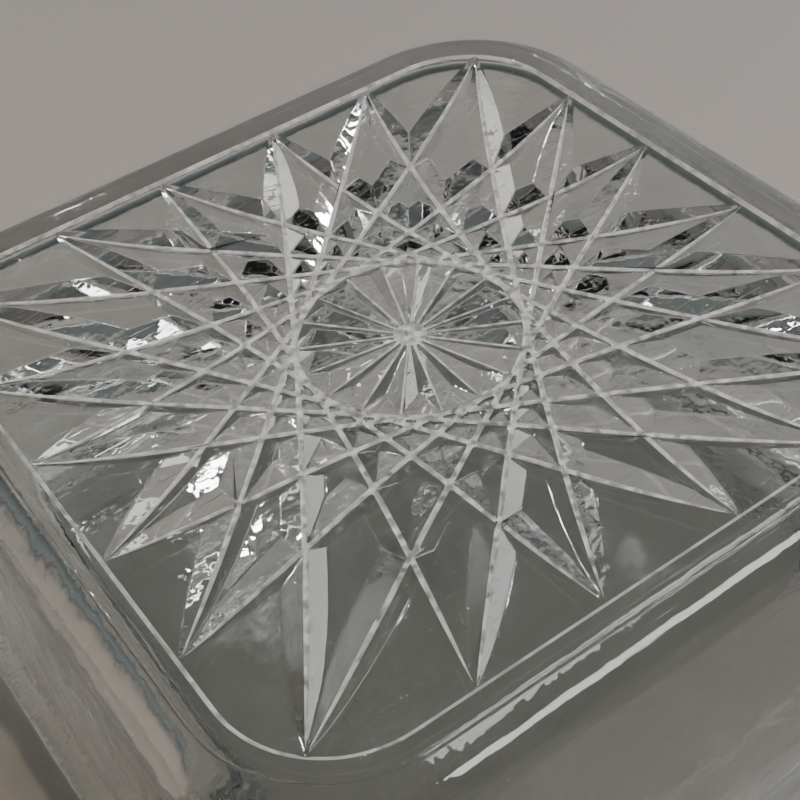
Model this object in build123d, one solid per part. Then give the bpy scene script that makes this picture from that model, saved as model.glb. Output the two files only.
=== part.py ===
from build123d import *
import math
import os

# Butter dish: a deep square pressed glass cover with a star cut into its flat top,
# standing on a shallow square glass tray. Millimetres, +Z up, foot of the tray at z = 0.

# star field on the cover
FIELD_HALF = 50.0
FIELD_CORNER = 14.7
FIELD_DROP = 0.5
FIELD_STEP_WIDTH = 0.6
TIP_NEAR = 9.8
TIP_FAR = 27.4
CHORD_SKIP = 8
PASS_RADIUS = 15.1

# mitre grooves of the star
GROOVE_HALF_WIDTH = 2.7
GROOVE_DEPTH = 1.25
LEAF_STATIONS = ((0.0, 0.0), (3.0, 0.34), (8.0, 0.72), (18.0, 1.0))
BOW_STATIONS = (0.35, 0.5, 0.65)
CUTTER_RISE = 0.5

# sunburst in the middle of the star
RAY_COUNT = 18
RAY_REACH = 15.1
RAY_DEPTH = 1.1
RAY_HALF_WIDTH = 2.3
RAY_TURN = 10.0

# cover shell
BAND_WIDTH = 3.5
SHOULDER_RADIUS = 5.0
COVER_HEIGHT = 54.0
COVER_FLARE = 3.5
COVER_WALL = 4.0
TOP_THICKNESS = 5.0
COVER_INNER_RADIUS = 5.0
RIM_ROUND = 1.2

# tray
FLOOR_THICKNESS = 3.0
FOOT_HEIGHT = 2.0
FOOT_WIDTH = 4.5
WELL_DEPTH = 5.0
WELL_MARGIN = 3.0
WELL_SLOPE = 2.0
LEDGE_CLEARANCE = 1.2
LEDGE_THICKNESS = 4.0
LIP_RISE = 6.0
LIP_FLARE = 8.0
LIP_THICKNESS = 3.0
LIP_BAND = 3.0
LIP_ROUND = 1.2
FOOT_SET_IN = 1.5

# how closely an edge has to match a size to be picked, and what a full rounding leaves flat
MATCH = 0.01
FLAT_LEFT = 0.01

SHOULDER_HALF = FIELD_HALF + BAND_WIDTH + SHOULDER_RADIUS
COVER_HALF = SHOULDER_HALF + COVER_FLARE
WELL_HALF = COVER_HALF - COVER_WALL - WELL_MARGIN
SEAT_HALF = COVER_HALF + LEDGE_CLEARANCE
LEDGE_Z = FOOT_HEIGHT + FLOOR_THICKNESS + WELL_DEPTH
TOP_Z = LEDGE_Z + COVER_HEIGHT
FIELD_Z = TOP_Z - FIELD_DROP
CORNER_TIP = FIELD_HALF - FIELD_CORNER * (1 - math.sqrt(0.5))


def rounded_square(half):
    corner = FIELD_CORNER + half - FIELD_HALF
    return RectangleRounded(2 * half, 2 * half, corner)


def frustum(half_low, half_high, z_low, z_high):
    low = Plane.XY.offset(z_low) * rounded_square(half_low)
    high = Plane.XY.offset(z_high) * rounded_square(half_high)
    return loft([low, high], ruled=True)


def edges_at(solid, half, z):
    found = []
    for edge in solid.edges():
        box = edge.bounding_box()
        flat = abs(box.max.Z - z) < MATCH and abs(box.min.Z - z) < MATCH
        reach = max(abs(box.max.X), abs(box.min.X), abs(box.max.Y), abs(box.min.Y))
        if flat and abs(reach - half) < MATCH:
            found.append(edge)
    return found


def star_tips():
    side = [(CORNER_TIP, CORNER_TIP), (TIP_FAR, FIELD_HALF), (TIP_NEAR, FIELD_HALF)]
    side += [(-TIP_NEAR, FIELD_HALF), (-TIP_FAR, FIELD_HALF)]
    tips = []
    for turn in range(4):
        for x, y in side:
            for _ in range(turn):
                x, y = -y, x
            tips.append((x, y))
    return tips


def faceted(faces):
    return Solid(Shell([Face(Wire.make_polygon(points, close=True)) for points in faces]))


def groove_cutter(start, end):
    length = math.hypot(end[0] - start[0], end[1] - start[1])
    along = ((end[0] - start[0]) / length, (end[1] - start[1]) / length)
    side = (-along[1], along[0])
    bow = start[0] * along[1] - start[1] * along[0] - PASS_RADIUS
    stations = list(LEAF_STATIONS)
    stations += [(length * part, 1.0) for part in BOW_STATIONS]
    stations += [(length - s, scale) for s, scale in reversed(LEAF_STATIONS)]
    rings = []
    for s, scale in stations:
        inward = bow * (1 - (2 * s / length - 1) ** 2)
        x = start[0] + along[0] * s + side[0] * inward
        y = start[1] + along[1] * s + side[1] * inward
        half = GROOVE_HALF_WIDTH * (scale + CUTTER_RISE / GROOVE_DEPTH)
        top = FIELD_Z + CUTTER_RISE
        left = (x + side[0] * half, y + side[1] * half, top)
        right = (x - side[0] * half, y - side[1] * half, top)
        bottom = (x, y, FIELD_Z - GROOVE_DEPTH * scale)
        rings.append((left, bottom, right))
    faces = [list(rings[0]), list(reversed(rings[-1]))]
    for a, b in zip(rings, rings[1:]):
        for i in range(3):
            j = (i + 1) % 3
            faces.append([a[i], b[i], b[j], a[j]])
    return faceted(faces)


def sunburst_cutter():
    slope = RAY_DEPTH / RAY_HALF_WIDTH
    half_turn = math.pi / RAY_COUNT
    hub = (0.0, 0.0, FIELD_Z - RAY_DEPTH)
    top_z = FIELD_Z + CUTTER_RISE
    apex = (0.0, 0.0, top_z)
    ridge_reach = RAY_REACH * math.cos(half_turn)
    ridge_z = hub[2] + slope * RAY_REACH * math.sin(half_turn) * math.cos(half_turn)
    low = []
    for k in range(RAY_COUNT):
        ray = math.radians(RAY_TURN) + 2 * half_turn * k
        ridge = ray + half_turn
        low.append((RAY_REACH * math.cos(ray), RAY_REACH * math.sin(ray), hub[2]))
        low.append((ridge_reach * math.cos(ridge), ridge_reach * math.sin(ridge), ridge_z))
    faces = []
    for i, point in enumerate(low):
        after = low[(i + 1) % len(low)]
        up_point = (point[0], point[1], top_z)
        up_after = (after[0], after[1], top_z)
        faces.append([hub, point, after])
        faces.append([point, up_point, up_after, after])
        faces.append([apex, up_after, up_point])
    return faceted(faces)


def cover():
    shoulder_z = TOP_Z - SHOULDER_RADIUS
    wall = frustum(COVER_HALF, SHOULDER_HALF, LEDGE_Z, shoulder_z)
    crown = frustum(SHOULDER_HALF, SHOULDER_HALF, shoulder_z, TOP_Z)
    crown = fillet(edges_at(crown, SHOULDER_HALF, TOP_Z), SHOULDER_RADIUS - FLAT_LEFT)
    inner_top = TOP_Z - TOP_THICKNESS
    inner_half = SHOULDER_HALF - COVER_WALL
    hollow = frustum(COVER_HALF - COVER_WALL, inner_half, LEDGE_Z, inner_top)
    hollow = fillet(edges_at(hollow, inner_half, inner_top), COVER_INNER_RADIUS)
    shell = (wall + crown) - hollow
    shell = fillet(edges_at(shell, COVER_HALF, LEDGE_Z), RIM_ROUND)
    step = frustum(FIELD_HALF, FIELD_HALF + FIELD_STEP_WIDTH, FIELD_Z, TOP_Z)
    shell = shell - step
    tips = star_tips()
    cutters = [sunburst_cutter()]
    for i, tip in enumerate(tips):
        cutters.append(groove_cutter(tip, tips[(i + CHORD_SKIP) % len(tips)]))
    return shell - cutters


def tray():
    well_floor = LEDGE_Z - WELL_DEPTH
    lip_z = LEDGE_Z + LIP_RISE
    under_ledge = LEDGE_Z - LEDGE_THICKNESS
    lip_inner = SEAT_HALF + LIP_FLARE
    lip_outer = lip_inner + LIP_THICKNESS
    foot_half = WELL_HALF + FOOT_SET_IN
    foot_inner = foot_half - FOOT_WIDTH
    body = frustum(SEAT_HALF, lip_outer, under_ledge, lip_z - LIP_BAND)
    body += frustum(lip_outer, lip_outer, lip_z - LIP_BAND, lip_z)
    body -= frustum(SEAT_HALF, lip_inner, LEDGE_Z, lip_z)
    body = fillet(edges_at(body, lip_outer, lip_z), LIP_ROUND)
    body = fillet(edges_at(body, lip_inner, lip_z), LIP_ROUND)
    body += frustum(foot_half, foot_half + FOOT_SET_IN, 0.0, under_ledge)
    body -= frustum(WELL_HALF - WELL_SLOPE, WELL_HALF, well_floor, LEDGE_Z)
    body -= frustum(foot_inner, foot_inner - FOOT_SET_IN, 0.0, FOOT_HEIGHT)
    return body


os.makedirs("parts", exist_ok=True)
export_step(cover(), "parts/cover.step")
export_step(tray(), "parts/tray.step")
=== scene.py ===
import math

import bmesh
import bpy
from mathutils import Matrix, Vector


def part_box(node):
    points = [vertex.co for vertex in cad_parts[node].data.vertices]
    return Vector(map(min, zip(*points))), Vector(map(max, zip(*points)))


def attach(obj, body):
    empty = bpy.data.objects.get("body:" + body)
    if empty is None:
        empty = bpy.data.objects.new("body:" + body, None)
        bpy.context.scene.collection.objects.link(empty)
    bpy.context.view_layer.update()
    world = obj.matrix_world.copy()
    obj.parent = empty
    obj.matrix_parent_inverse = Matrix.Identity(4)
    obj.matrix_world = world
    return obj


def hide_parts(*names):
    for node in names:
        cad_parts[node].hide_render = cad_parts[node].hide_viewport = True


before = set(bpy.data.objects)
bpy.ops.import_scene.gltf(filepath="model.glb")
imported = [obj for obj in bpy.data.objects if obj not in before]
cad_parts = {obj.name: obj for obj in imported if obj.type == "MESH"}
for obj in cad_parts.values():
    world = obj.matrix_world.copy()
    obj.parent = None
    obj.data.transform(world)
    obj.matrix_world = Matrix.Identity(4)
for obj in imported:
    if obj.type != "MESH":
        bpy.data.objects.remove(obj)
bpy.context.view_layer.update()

bl_info = {
    "name": "Star-Cut Butter Dish",
    "version": (1, 0, 0),
    "blender": (4, 5, 0),
    "location": "3D View > Sidebar > Butter Dish",
    "description": "Builds a square pressed glass butter dish: a star-cut cover on a shallow tray",
    "category": "Add Mesh",
}

COVER_LOW, COVER_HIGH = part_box("cover")
TRAY_LOW, TRAY_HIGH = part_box("tray")


class DishSizes(bpy.types.PropertyGroup):
    """Sizes of the pressed glass, in metres"""

    field_half: bpy.props.FloatProperty(
        name="Star Field Half Width", description="Half the width of the square star field",
        default=0.050, unit="LENGTH")
    corner_centre: bpy.props.FloatProperty(
        name="Corner Centre", description="Distance from the middle to the centre that every corner arc shares",
        default=0.0353, unit="LENGTH")
    corner_segments: bpy.props.IntProperty(
        name="Corner Segments", description="Straight pieces in each rounded corner", default=24)
    field_drop: bpy.props.FloatProperty(
        name="Field Drop", description="How far the star field lies below its border band",
        default=0.0005, unit="LENGTH")
    band_width: bpy.props.FloatProperty(
        name="Band Width", description="Flat band between the star field and the shoulder",
        default=0.0035, unit="LENGTH")
    shoulder_radius: bpy.props.FloatProperty(
        name="Shoulder Radius", description="Rounding between the top and the walls",
        default=0.005, unit="LENGTH")
    cover_wall: bpy.props.FloatProperty(
        name="Cover Wall", description="Thickness of the cover's side walls", default=0.004, unit="LENGTH")
    cover_top: bpy.props.FloatProperty(
        name="Cover Top", description="Thickness of the cover's top", default=0.005, unit="LENGTH")
    cover_flare: bpy.props.FloatProperty(
        name="Cover Flare", description="How much wider the rim is than the shoulder on each side",
        default=0.0035, unit="LENGTH")
    rim_gap: bpy.props.FloatProperty(
        name="Rim Gap", description="Film of air between the rim and the ledge that it rests on",
        default=0.00002, unit="LENGTH")
    seam_height: bpy.props.FloatProperty(
        name="Seam Height", description="Height of the fine line that the mould ring leaves",
        default=0.0001, unit="LENGTH")
    seam_half: bpy.props.FloatProperty(
        name="Seam Half Width", description="Half the width of that line", default=0.0002, unit="LENGTH")
    step_width: bpy.props.FloatProperty(
        name="Step Width", description="Width of the slope between the border band and the star field",
        default=0.0006, unit="LENGTH")
    rim_round: bpy.props.FloatProperty(
        name="Rim Round", description="Rounding of the outer edge of the cover's rim",
        default=0.0012, unit="LENGTH")
    rim_inner_round: bpy.props.FloatProperty(
        name="Inner Rim Round", description="Rounding of the inner edge of the cover's rim",
        default=0.001, unit="LENGTH")
    rim_band: bpy.props.FloatProperty(
        name="Rim Band", description="Height above the rim where the flare of the wall starts",
        default=0.0022, unit="LENGTH")
    arris_width: bpy.props.FloatProperty(
        name="Arris Width", description="Width of the fire-polished edge on every cut",
        default=0.00022, unit="LENGTH")
    seat_gap: bpy.props.FloatProperty(
        name="Seat Gap", description="Room on the tray's ledge outside the rim", default=0.0013, unit="LENGTH")
    lip_band: bpy.props.FloatProperty(
        name="Lip Band", description="Width of the flat top of the tray's lip", default=0.003, unit="LENGTH")
    lip_thickness: bpy.props.FloatProperty(
        name="Lip Thickness", description="Thickness of the tray's lip", default=0.003, unit="LENGTH")
    lip_round: bpy.props.FloatProperty(
        name="Lip Round", description="Rounding of the upper edges of the tray's lip",
        default=0.0012, unit="LENGTH")
    ledge_thickness: bpy.props.FloatProperty(
        name="Ledge Thickness", description="Thickness of the tray under the ledge",
        default=0.004, unit="LENGTH")
    well_half: bpy.props.FloatProperty(
        name="Well Half Width", description="Half the width of the tray's well at the ledge",
        default=0.055, unit="LENGTH")
    well_depth: bpy.props.FloatProperty(
        name="Well Depth", description="Depth of the tray's well below the ledge", default=0.005, unit="LENGTH")
    well_slope: bpy.props.FloatProperty(
        name="Well Slope", description="How far the side of the well leans in", default=0.002, unit="LENGTH")
    foot_half: bpy.props.FloatProperty(
        name="Foot Half Width", description="Half the width of the tray's foot", default=0.0565, unit="LENGTH")
    foot_width: bpy.props.FloatProperty(
        name="Foot Width", description="Width of the ring that the tray stands on",
        default=0.0045, unit="LENGTH")
    foot_height: bpy.props.FloatProperty(
        name="Foot Height", description="Height of that ring", default=0.002, unit="LENGTH")


class StarSizes(bpy.types.PropertyGroup):
    """Sizes of the mitre cuts, in metres"""

    tip_near: bpy.props.FloatProperty(
        name="Near Tip", description="Side tip nearest the middle of each side", default=0.0098, unit="LENGTH")
    tip_far: bpy.props.FloatProperty(
        name="Far Tip", description="Side tip nearest each corner", default=0.0274, unit="LENGTH")
    tip_corner: bpy.props.FloatProperty(
        name="Corner Tip", description="Tip in each corner, along both sides", default=0.0457, unit="LENGTH")
    pass_radius: bpy.props.FloatProperty(
        name="Pass Radius", description="How near to the middle every cut passes on its bowed way across",
        default=0.0151, unit="LENGTH")
    chord_skip: bpy.props.IntProperty(
        name="Chord Skip", description="Tips counted from one end of a cut to its other end", default=8)
    cut_half: bpy.props.FloatProperty(
        name="Cut Half Width", description="Half the width of a cut at the surface",
        default=0.0027, unit="LENGTH")
    cut_depth: bpy.props.FloatProperty(
        name="Cut Depth", description="Depth of a cut", default=0.0015, unit="LENGTH")
    cut_floor: bpy.props.FloatProperty(
        name="Cut Floor Half Width", description="Half the width of the worn floor of a cut",
        default=0.00036, unit="LENGTH")
    leaf_length: bpy.props.FloatProperty(
        name="Leaf Length", description="Length over which a cut grows from its tip to full width",
        default=0.0225, unit="LENGTH")
    ray_pairs: bpy.props.IntProperty(
        name="Ray Pairs", description="Cuts straight through the middle, each making two rays", default=9)
    ray_turn: bpy.props.FloatProperty(
        name="Ray Turn", description="Direction of the first ray", default=math.radians(10), subtype="ANGLE")
    ray_reach: bpy.props.FloatProperty(
        name="Ray Reach", description="Length of a ray from the middle", default=0.0151, unit="LENGTH")
    ray_half: bpy.props.FloatProperty(
        name="Ray Half Width", description="Half the width of a ray at the surface",
        default=0.0023, unit="LENGTH")
    ray_depth: bpy.props.FloatProperty(
        name="Ray Depth", description="Depth of a ray", default=0.0014, unit="LENGTH")
    ray_floor: bpy.props.FloatProperty(
        name="Ray Floor Half Width", description="Half the width of a ray's floor",
        default=0.00022, unit="LENGTH")


class GlassLook(bpy.types.PropertyGroup):
    """Colour and finish of the glass"""

    tint: bpy.props.FloatVectorProperty(
        name="Tint", description="Colour of the clear glass", subtype="COLOR", default=(0.955, 0.975, 0.965))
    frost: bpy.props.FloatVectorProperty(
        name="Frost", description="Colour of the worn floors of the cuts", subtype="COLOR",
        default=(0.90, 0.92, 0.91))
    gloss: bpy.props.FloatProperty(
        name="Roughness", description="Roughness of the polished faces", default=0.012, subtype="FACTOR")
    floor_gloss: bpy.props.FloatProperty(
        name="Floor Roughness", description="Roughness of the floors of the cuts", default=0.4,
        subtype="FACTOR")
    floor_clear: bpy.props.FloatProperty(
        name="Floor Clearness", description="How much of the light the worn floors let through", default=0.70,
        subtype="FACTOR")
    wall_alpha: bpy.props.FloatProperty(
        name="Wall Alpha", description="How much of the light the walls bend, the rest going straight through",
        default=0.7, subtype="FACTOR")
    wave: bpy.props.FloatProperty(
        name="Wave", description="Strength of the ripples left by pressing", default=0.28, subtype="FACTOR")
    scratch: bpy.props.FloatProperty(
        name="Scratches", description="Strength of the fine scratches of use", default=0.35, subtype="FACTOR")


class StageLook(bpy.types.PropertyGroup):
    """Camera and studio light"""

    azimuth: bpy.props.FloatProperty(
        name="Camera Azimuth", description="Turn of the camera about the dish", default=math.radians(-30.83),
        subtype="ANGLE")
    elevation: bpy.props.FloatProperty(
        name="Camera Elevation", description="Height of the camera as an angle", default=math.radians(44.2),
        subtype="ANGLE")
    roll: bpy.props.FloatProperty(
        name="Camera Roll", description="Tilt of the camera about its own axis", default=math.radians(-6.54),
        subtype="ANGLE")
    distance: bpy.props.FloatProperty(
        name="Camera Distance", description="From the camera to the middle of the star", default=0.1944,
        unit="LENGTH")
    slide: bpy.props.FloatVectorProperty(
        name="Camera Slide", description="Sideways and upward shift of the aim", size=2,
        default=(0.0023, 0.00932), subtype="XYZ")
    lens: bpy.props.FloatProperty(
        name="Lens", description="Focal length on a 36 mm frame, in millimetres", default=67.14)
    floor_colour: bpy.props.FloatVectorProperty(
        name="Floor", description="Colour of the floor", subtype="COLOR", default=(0.33, 0.305, 0.297))


def rounded(corners, segments=6):
    """Profile points (half width, height) from corners (half width, height, radius)."""
    points = []
    for i, (x, z, radius) in enumerate(corners):
        here = Vector((x, z))
        if radius == 0 or i in (0, len(corners) - 1):
            points.append(here)
            continue
        before = (Vector(corners[i - 1][:2]) - here).normalized()
        after = (Vector(corners[i + 1][:2]) - here).normalized()
        half_angle = before.angle(after) / 2
        centre = here + (before + after).normalized() * radius / math.sin(half_angle)
        first = here + before * radius / math.tan(half_angle) - centre
        sweep = first.angle_signed(here + after * radius / math.tan(half_angle) - centre)
        for k in range(segments + 1):
            points.append(centre + Matrix.Rotation(-sweep * k / segments, 2) @ first)
    return points


def trace(bm, face, points, up):
    """Carry a flat face along a profile, insetting it at every step."""
    for a, b in zip(points, points[1:]):
        bmesh.ops.inset_region(
            bm, faces=[face], thickness=max(a.x - b.x, 0.0), depth=(b.y - a.y) * up,
            use_even_offset=True, use_boundary=True)


def pressed_shell(sizes, outer, inner, name):
    """A closed square shell from the profile above its widest band and the profile below it."""
    bm = bmesh.new()
    half = outer[0].x
    bmesh.ops.create_grid(bm, x_segments=1, y_segments=1, size=half)
    bmesh.ops.bevel(
        bm, geom=bm.verts[:], offset=half - sizes.corner_centre, offset_type="OFFSET",
        segments=sizes.corner_segments, profile=0.5, affect="VERTICES", material=-1)
    bmesh.ops.translate(bm, verts=bm.verts, vec=(0, 0, inner[0].y))
    low = bm.faces[:][0]
    raised = bmesh.ops.extrude_face_region(bm, geom=[low], use_keep_orig=True)["geom"]
    high = [g for g in raised if isinstance(g, bmesh.types.BMFace)][0]
    bmesh.ops.translate(bm, verts=high.verts, vec=(0, 0, outer[0].y - inner[0].y))
    bmesh.ops.recalc_face_normals(bm, faces=bm.faces)
    trace(bm, high, outer, 1)
    trace(bm, low, inner, -1)
    mesh = bpy.data.meshes.new(name)
    bm.to_mesh(mesh)
    bm.free()
    return mesh


def cutter(name, length, half, depth, floor, scale_at, stations, place, bow=0.0):
    """One mitre cut as a solid: its section carried along +X, bowed and scaled, then put in place."""
    lift = 0.25 * depth
    top = half * 1.25
    bm = bmesh.new()
    corner = -0.95 * depth
    section = [(-top, lift), (-half, 0), (-floor, corner), (0, -depth), (floor, corner), (half, 0), (top, lift)]
    scale = scale_at(stations[0])
    face = bm.faces.new([bm.verts.new((stations[0] * length, y * scale, z * scale)) for y, z in section])
    for a, b in zip(stations, stations[1:]):
        grown = bmesh.ops.extrude_face_region(bm, geom=[face])["geom"]
        if a > stations[0]:
            bmesh.ops.delete(bm, geom=[face], context="FACES_ONLY")
        face = [g for g in grown if isinstance(g, bmesh.types.BMFace)][0]
        ratio = scale_at(b) / scale_at(a)
        bmesh.ops.scale(bm, verts=face.verts, vec=(1, ratio, ratio))
        bmesh.ops.translate(bm, verts=face.verts, vec=((b - a) * length, 0, 0))
    for vert in bm.verts:
        vert.co.y += bow * (1 - (2 * vert.co.x / length - 1) ** 2)
    bmesh.ops.recalc_face_normals(bm, faces=bm.faces)
    for face in bm.faces:
        face.material_index = 1 if face.normal.z < -0.9 else 0
    bmesh.ops.transform(bm, matrix=place, verts=bm.verts)
    mesh = bpy.data.meshes.new(name)
    bm.to_mesh(mesh)
    bm.free()
    return bpy.data.objects.new(name, mesh)


def star_cutters(sizes, star, field_z):
    """Every mitre cut of the star and of the sunburst in its middle."""
    edge = sizes.field_half
    side = [(star.tip_corner, star.tip_corner), (star.tip_far, edge), (star.tip_near, edge),
            (-star.tip_near, edge), (-star.tip_far, edge)]
    tips = []
    for turn in range(4):
        quarter = Matrix.Rotation(turn * math.pi / 2, 3, "Z")
        tips += [quarter @ Vector((x, y, 0)) for x, y in side]
    cutters = []
    for i, tip in enumerate(tips):
        far = tips[(i + star.chord_skip) % len(tips)]
        run = far - tip
        turn = run.to_track_quat("X", "Z").to_matrix().to_4x4()
        place = Matrix.Translation(tip + Vector((0, 0, field_z))) @ turn
        leaf = star.leaf_length / run.length

        def scale_at(s, leaf=leaf):
            near = min(s, 1 - s, leaf) / leaf
            return max(1 - (1 - near) ** 2, 0.0004) ** 0.8

        bow = tip.cross(far).z / run.length - star.pass_radius
        steps = [leaf * (k / 8) ** 1.6 for k in range(9)]
        waist = [leaf + (1 - 2 * leaf) * k / 8 for k in range(1, 8)]
        stations = steps + waist + [1 - s for s in reversed(steps)]
        cutters.append(cutter(f"chord_{i:02d}", run.length, star.cut_half, star.cut_depth, star.cut_floor,
                              scale_at, stations, place, bow))
    for i in range(star.ray_pairs):
        turn = Matrix.Rotation(star.ray_turn + i * math.pi / star.ray_pairs, 4, "Z")
        place = Matrix.Translation((0, 0, field_z)) @ turn @ Matrix.Translation((-star.ray_reach, 0, 0))
        cutters.append(cutter(f"ray_{i:02d}", 2 * star.ray_reach, star.ray_half, star.ray_depth, star.ray_floor,
                              lambda s: 1.0, (0.0, 1.0), place))
    return cutters


def cut_away(obj, cutters):
    """Take all the cutters out of a piece's mesh in one pass."""
    group = bpy.data.collections.new("cutters")
    bpy.context.scene.collection.children.link(group)
    for c in cutters:
        group.objects.link(c)
    modifier = obj.modifiers.new("Cuts", "BOOLEAN")
    modifier.operation = "DIFFERENCE"
    modifier.operand_type = "COLLECTION"
    modifier.collection = group
    modifier.solver = "EXACT"
    modifier.material_mode = "INDEX"
    bpy.context.view_layer.update()
    result = bpy.data.meshes.new_from_object(obj.evaluated_get(bpy.context.evaluated_depsgraph_get()))
    obj.modifiers.remove(modifier)
    old = obj.data
    obj.data = result
    bpy.data.meshes.remove(old)
    for c in cutters:
        bpy.data.meshes.remove(c.data)
    bpy.data.collections.remove(group)


def put_in_order(bm):
    """Number the corners, edges and faces by where they are, so that every run goes on the same way."""
    def spot(vector):
        return tuple(round(value, 7) for value in vector)

    for parts, place in (
            (bm.verts, lambda vert: spot(vert.co)),
            (bm.edges, lambda edge: sorted(vert.index for vert in edge.verts)),
            (bm.faces, lambda face: sorted(vert.index for vert in face.verts))):
        rank = {part: i for i, part in enumerate(sorted(parts, key=place))}
        parts.sort(key=rank.get)
        parts.index_update()


def soften(obj, width, low_z, reach):
    """Round the arrises of the cuts inside the star field, leaving sharp the few that can't close.

    Each pass keeps more arrises sharp round the gaps that are left, and the last one rounds none.
    """
    kept_sharp = []
    for attempt in range(19):
        room = 0.0003 * 1.6 ** attempt
        bm = bmesh.new()
        bm.from_mesh(obj.data)
        put_in_order(bm)
        bmesh.ops.remove_doubles(bm, verts=bm.verts, dist=0.0001)
        put_in_order(bm)
        arrises = [edge for edge in bm.edges if is_arris(edge, low_z, reach, kept_sharp, room)]
        bmesh.ops.bevel(
            bm, geom=arrises, offset=width, offset_type="OFFSET", segments=2, profile=0.5, affect="EDGES",
            clamp_overlap=False, material=-1)
        gaps = [edge for edge in bm.edges if not edge.is_manifold]
        if not gaps:
            bm.to_mesh(obj.data)
            bm.free()
            return
        kept_sharp += [vert.co.copy() for edge in gaps for vert in edge.verts]
        bm.free()
    raise RuntimeError(f"open edges are left in {obj.name}")


def is_arris(edge, low_z, reach, kept_sharp, room):
    """Whether an edge is a convex edge of a cut, clear of the places that stay sharp."""
    if not edge.is_manifold or edge.calc_face_angle_signed(0) < math.radians(12):
        return False
    for vert in edge.verts:
        x, y, z = vert.co
        if max(abs(x), abs(y)) > reach or z < low_z:
            return False
        if any((vert.co - spot).length < room for spot in kept_sharp):
            return False
    return True


def finish_shading(obj, angle):
    """Smooth shading that leaves the flat faces flat."""
    obj.data.shade_smooth()
    obj.data.set_sharp_from_angle(angle=angle)
    weighted = obj.modifiers.new("Flat Faces", "WEIGHTED_NORMAL")
    weighted.mode = "FACE_AREA"
    weighted.weight = 100
    weighted.keep_sharp = True


def noise(nodes, links, vector, scale, detail):
    """A noise pattern; its factor socket."""
    node = nodes.new("ShaderNodeTexNoise")
    node.inputs["Scale"].default_value = scale
    node.inputs["Detail"].default_value = detail
    links.new(vector, node.inputs["Vector"])
    return node.outputs["Fac"]


def bump(nodes, links, height, strength, distance, under):
    """A bump laid over another one; its normal socket."""
    node = nodes.new("ShaderNodeBump")
    node.inputs["Strength"].default_value = strength
    node.inputs["Distance"].default_value = distance
    links.new(height, node.inputs["Height"])
    if under:
        links.new(under, node.inputs["Normal"])
    return node.outputs["Normal"]


def scratches(nodes, links, vector, turn):
    """Short thin lines all in about one direction; their height socket."""
    stretch = nodes.new("ShaderNodeMapping")
    stretch.inputs["Rotation"].default_value = (0, 0, turn)
    stretch.inputs["Scale"].default_value = (0.05, 1.6, 1)
    links.new(vector, stretch.inputs["Vector"])
    thin = nodes.new("ShaderNodeValToRGB")
    thin.color_ramp.elements[0].position = 0.70
    thin.color_ramp.elements[1].position = 0.76
    links.new(noise(nodes, links, stretch.outputs["Vector"], 1400, 1), thin.inputs["Fac"])
    return thin.outputs["Color"]


def glass_material(name, look, worn):
    """Pressed glass, clear and polished or, in the floors of the cuts, worn and frosty."""
    mat = bpy.data.materials.new(name)
    mat.use_nodes = True
    nodes, links = mat.node_tree.nodes, mat.node_tree.links
    glass = nodes["Principled BSDF"]
    glass.inputs["Base Color"].default_value = (*(look.frost if worn else look.tint), 1)
    glass.inputs["IOR"].default_value = 1.51
    glass.inputs["Transmission Weight"].default_value = 1.0
    place = nodes.new("ShaderNodeTexCoord").outputs["Object"]
    normal = bump(nodes, links, noise(nodes, links, place, 170, 3), look.wave, 0.0005, None)
    if worn:
        glass.inputs["Roughness"].default_value = look.floor_gloss
        patchy = nodes.new("ShaderNodeMapRange")
        patchy.inputs["From Min"].default_value = 0.35
        patchy.inputs["From Max"].default_value = 0.65
        patchy.inputs["To Min"].default_value = look.floor_clear - 0.3
        patchy.inputs["To Max"].default_value = look.floor_clear + 0.3
        links.new(noise(nodes, links, place, 900, 3), patchy.inputs["Value"])
        links.new(patchy.outputs["Result"], glass.inputs["Transmission Weight"])
        normal = bump(nodes, links, noise(nodes, links, place, 1500, 4), 0.6, 0.0001, normal)
    else:
        smear = nodes.new("ShaderNodeMapRange")
        smear.inputs["From Min"].default_value = 0.45
        smear.inputs["From Max"].default_value = 0.8
        smear.inputs["To Min"].default_value = look.gloss
        smear.inputs["To Max"].default_value = 8 * look.gloss
        links.new(noise(nodes, links, place, 60, 4), smear.inputs["Value"])
        links.new(smear.outputs["Result"], glass.inputs["Roughness"])
        for turn in (0.4, 2.1):
            normal = bump(nodes, links, scratches(nodes, links, place, turn), look.scratch, 0.00002, normal)
    links.new(normal, glass.inputs["Normal"])
    return mat


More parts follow.
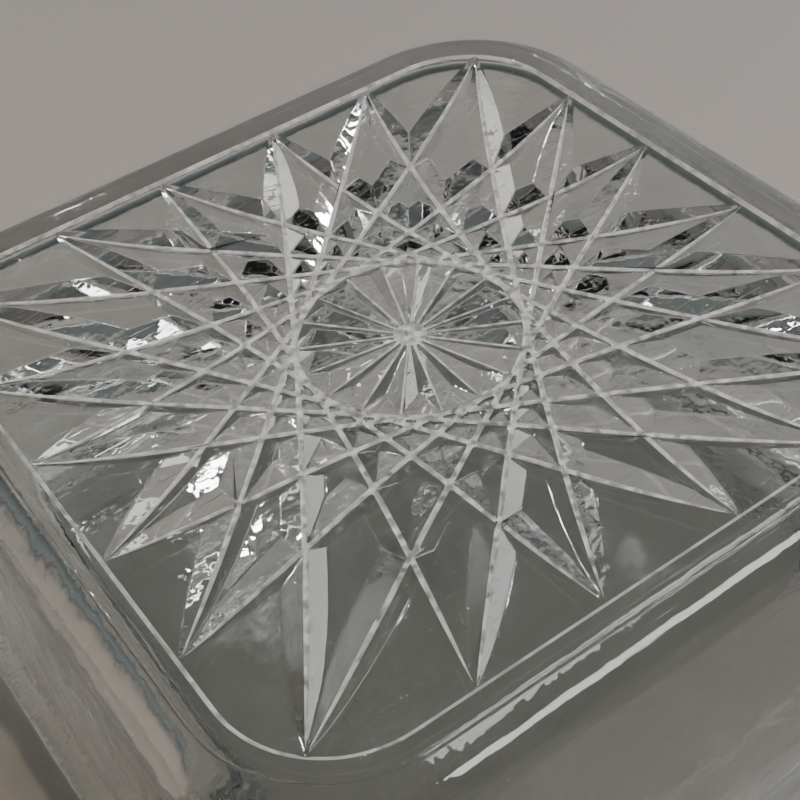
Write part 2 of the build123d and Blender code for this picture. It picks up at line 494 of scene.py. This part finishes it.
class DISH_OT_cover(bpy.types.Operator):
    """Build the square cover with the star cut into its top"""

    bl_idname = "dish.cover"
    bl_label = "Cover"

    def execute(self, context):
        sizes, star, look = context.scene.dish_sizes, context.scene.dish_star, context.scene.dish_glass
        rim, low, high = COVER_HIGH.x, COVER_LOW.z + sizes.rim_gap, COVER_HIGH.z
        shoulder = sizes.field_half + sizes.band_width + sizes.shoulder_radius
        wall, seam = sizes.cover_wall, sizes.seam_height
        band = sizes.field_half + sizes.band_width
        field_z = high - sizes.field_drop
        flat = high - seam
        outer = rounded([
            (rim, low + sizes.rim_band, 0),
            (shoulder, flat, sizes.shoulder_radius),
            (band + sizes.seam_half, flat, 0),
            (band, high, 0),
            (band - sizes.seam_half, flat, 0),
            (sizes.field_half + sizes.step_width, flat, 0),
            (sizes.field_half, field_z, 0),
            (sizes.field_half - 0.0004, field_z, 0)], 8)
        ceiling = high - sizes.cover_top
        inner = rounded([
            (rim, low + sizes.rim_round, 0),
            (rim, low, sizes.rim_round),
            (rim - wall, low, sizes.rim_inner_round),
            (shoulder - wall, ceiling, sizes.shoulder_radius),
            (shoulder - wall - 0.008, ceiling, 0)], 8)
        obj = bpy.data.objects.new("cover_glass", pressed_shell(sizes, outer, inner, "cover_glass"))
        context.scene.collection.objects.link(obj)
        cut_away(obj, star_cutters(sizes, star, field_z))
        soften(obj, sizes.arris_width, field_z - 2 * star.cut_depth, sizes.field_half - 0.0001)
        crease = Vector((band, field_z + 0.00005, flat - 0.00005))
        finishes = [self.finish(face, sizes, crease, ceiling, low) for face in obj.data.polygons]
        # clearing the materials also resets every face's finish, so the finishes are put back at the end
        obj.data.materials.clear()
        obj.data.materials.append(glass_material("cover clear glass", look, False))
        obj.data.materials.append(glass_material("cover cut floors", look, True))
        obj.data.materials.append(glass_material("cover wall glass", look, False))
        obj.data.materials[2].node_tree.nodes["Principled BSDF"].inputs["Alpha"].default_value = look.wall_alpha
        obj.data.polygons.foreach_set("material_index", finishes)
        finish_shading(obj, math.radians(30))
        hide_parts("cover")
        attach(obj, "cover")
        return {"FINISHED"}

    def finish(self, face, sizes, crease, ceiling, low):
        """Which finish a face gets: 0 clear, 1 worn and frosty, 2 the clear glass of the walls."""
        x, y, z = face.center
        corner = sizes.corner_centre
        out = corner + Vector((max(abs(x) - corner, 0), max(abs(y) - corner, 0))).length
        if face.material_index == 1 or z < low + 0.0006 and face.normal.z < -0.3:
            return 1
        if crease.y < z < crease.z and face.normal.z > 0.3 and out < crease.x:
            return 1
        return 2 if z < ceiling and abs(face.normal.z) < 0.5 else 0


class DISH_OT_tray(bpy.types.Operator):
    """Build the shallow square tray that the cover stands on"""

    bl_idname = "dish.tray"
    bl_label = "Tray"

    def execute(self, context):
        sizes, look = context.scene.dish_sizes, context.scene.dish_glass
        lip, top = TRAY_HIGH.x, TRAY_HIGH.z
        ledge = COVER_LOW.z
        seat, floor = COVER_HIGH.x + sizes.seat_gap, ledge - sizes.well_depth
        well, foot = sizes.well_half, sizes.foot_half
        outer = rounded([
            (lip, top - 0.0022, 0),
            (lip, top, sizes.lip_round),
            (lip - sizes.lip_band, top, sizes.lip_round),
            (seat, ledge, 0.0008),
            (well, ledge, 0.0008),
            (well - sizes.well_slope, floor, 0.0018),
            (well - sizes.well_slope - 0.004, floor, 0)], 6)
        under = ledge - sizes.ledge_thickness
        ring = foot - sizes.foot_width
        inner = rounded([
            (lip, top - 0.0026, 0),
            (lip, top - sizes.lip_thickness, 0.0002),
            (seat, under, 0.0012),
            (foot + 0.0015, under, 0.001),
            (foot, 0, 0.0008),
            (ring, 0, 0.0006),
            (ring - 0.0015, sizes.foot_height, 0.001),
            (ring - 0.0045, sizes.foot_height, 0)], 6)
        obj = bpy.data.objects.new("tray_glass", pressed_shell(sizes, outer, inner, "tray_glass"))
        context.scene.collection.objects.link(obj)
        obj.data.materials.append(glass_material("tray clear glass", look, False))
        finish_shading(obj, math.radians(30))
        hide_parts("tray")
        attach(obj, "tray")
        return {"FINISHED"}


class DISH_OT_stage(bpy.types.Operator):
    """Set up the floor, the studio lights and the camera"""

    bl_idname = "dish.stage"
    bl_label = "Stage"

    def execute(self, context):
        stage = context.scene.dish_stage
        floor = self.floor(context, stage)
        self.lights(context)
        self.camera(context, stage)
        return {"FINISHED"}

    def floor(self, context, stage):
        bm = bmesh.new()
        bmesh.ops.create_grid(bm, x_segments=1, y_segments=1, size=1.5)
        mesh = bpy.data.meshes.new("floor")
        bm.to_mesh(mesh)
        bm.free()
        mat = bpy.data.materials.new("floor")
        mat.use_nodes = True
        mat.node_tree.nodes["Principled BSDF"].inputs["Base Color"].default_value = (*stage.floor_colour, 1)
        mat.node_tree.nodes["Principled BSDF"].inputs["Roughness"].default_value = 0.7
        mesh.materials.append(mat)
        floor = bpy.data.objects.new("floor", mesh)
        context.scene.collection.objects.link(floor)
        return floor

    def lights(self, context):
        world = bpy.data.worlds.new("studio")
        world.use_nodes = True
        nodes, links = world.node_tree.nodes, world.node_tree.links
        coords = nodes.new("ShaderNodeTexCoord")
        split = nodes.new("ShaderNodeSeparateXYZ")
        links.new(coords.outputs["Generated"], split.inputs["Vector"])
        sky = nodes.new("ShaderNodeValToRGB")
        sky.color_ramp.elements[0].position = 0.05
        sky.color_ramp.elements[0].color = (0.14, 0.155, 0.15, 1)
        sky.color_ramp.elements[1].position = 0.9
        sky.color_ramp.elements[1].color = (0.20, 0.22, 0.215, 1)
        middle = sky.color_ramp.elements.new(0.4)
        middle.color = (0.045, 0.05, 0.048, 1)
        links.new(split.outputs["Z"], sky.inputs["Fac"])
        links.new(sky.outputs["Color"], nodes["Background"].inputs["Color"])
        nodes["Background"].inputs["Strength"].default_value = 1.0
        context.scene.world = world
        white, warm = (1, 1, 1), (1, 0.78, 0.52)
        for name, place, width, height, power, colour in (
                ("overhead", (0.18, -0.28, 0.42), 0.24, 0.12, 1.4, white),
                ("back", (-0.136, 0.857, 0.386), 0.45, 0.22, 1.8, white),
                ("left", (-0.42, -0.1, 0.6), 0.035, 0.035, 1.5, warm),
                ("right", (0.65, 0.25, 0.5), 0.045, 0.045, 1.8, white),
                ("front", (-0.25, -0.75, 0.7), 0.035, 0.035, 1.6, warm),
                ("rear", (0.2, 0.6, 0.75), 0.04, 0.04, 1.2, white)):
            lamp = bpy.data.lights.new(name, "AREA")
            lamp.shape = "RECTANGLE"
            lamp.color = colour
            lamp.size, lamp.size_y, lamp.energy = width, height, power
            obj = bpy.data.objects.new(name, lamp)
            obj.location = place
            obj.rotation_euler = (Vector(place) - Vector((0, 0, 0.05))).to_track_quat("Z", "Y").to_euler()
            context.scene.collection.objects.link(obj)

    def camera(self, context, stage):
        sizes = context.scene.dish_sizes
        turn, lift = stage.azimuth, stage.elevation
        back = Vector((math.sin(turn) * math.cos(lift), -math.cos(turn) * math.cos(lift), math.sin(lift)))
        right = Vector((math.cos(turn), math.sin(turn), 0))
        up = back.cross(right)
        middle = Vector((0, 0, COVER_HIGH.z - sizes.field_drop))
        data = bpy.data.cameras.new("camera")
        data.lens = stage.lens
        data.sensor_width = 36
        data.clip_start = 0.005
        camera = bpy.data.objects.new("camera", data)
        place = middle + back * stage.distance - right * stage.slide[0] - up * stage.slide[1]
        level = Matrix((right, up, back)).transposed().to_4x4()
        camera.matrix_world = Matrix.Translation(place) @ level @ Matrix.Rotation(stage.roll, 4, "Z")
        context.scene.collection.objects.link(camera)
        context.scene.camera = camera


class DISH_PT_panel(bpy.types.Panel):
    """Lists the steps that build the dish"""

    bl_label = "Butter Dish"
    bl_idname = "DISH_PT_panel"
    bl_space_type = "VIEW_3D"
    bl_region_type = "UI"
    bl_category = "Butter Dish"

    def draw(self, context):
        for step in STEPS:
            self.layout.operator(step.bl_idname)
        for group in ("dish_sizes", "dish_star", "dish_glass", "dish_stage"):
            settings = getattr(context.scene, group)
            for key in settings.__annotations__:
                self.layout.prop(settings, key)


STEPS = (DISH_OT_stage, DISH_OT_tray, DISH_OT_cover)
GROUPS = {"dish_sizes": DishSizes, "dish_star": StarSizes, "dish_glass": GlassLook, "dish_stage": StageLook}


def register():
    for group, kind in GROUPS.items():
        bpy.utils.register_class(kind)
        setattr(bpy.types.Scene, group, bpy.props.PointerProperty(type=kind))
    for kind in (*STEPS, DISH_PT_panel):
        bpy.utils.register_class(kind)


def unregister():
    for kind in (DISH_PT_panel, *reversed(STEPS)):
        bpy.utils.unregister_class(kind)
    for group, kind in GROUPS.items():
        delattr(bpy.types.Scene, group)
        bpy.utils.unregister_class(kind)


def main():
    register()
    bpy.ops.dish.stage()
    bpy.ops.dish.tray()
    bpy.ops.dish.cover()


if __name__ == "__main__":
    main()
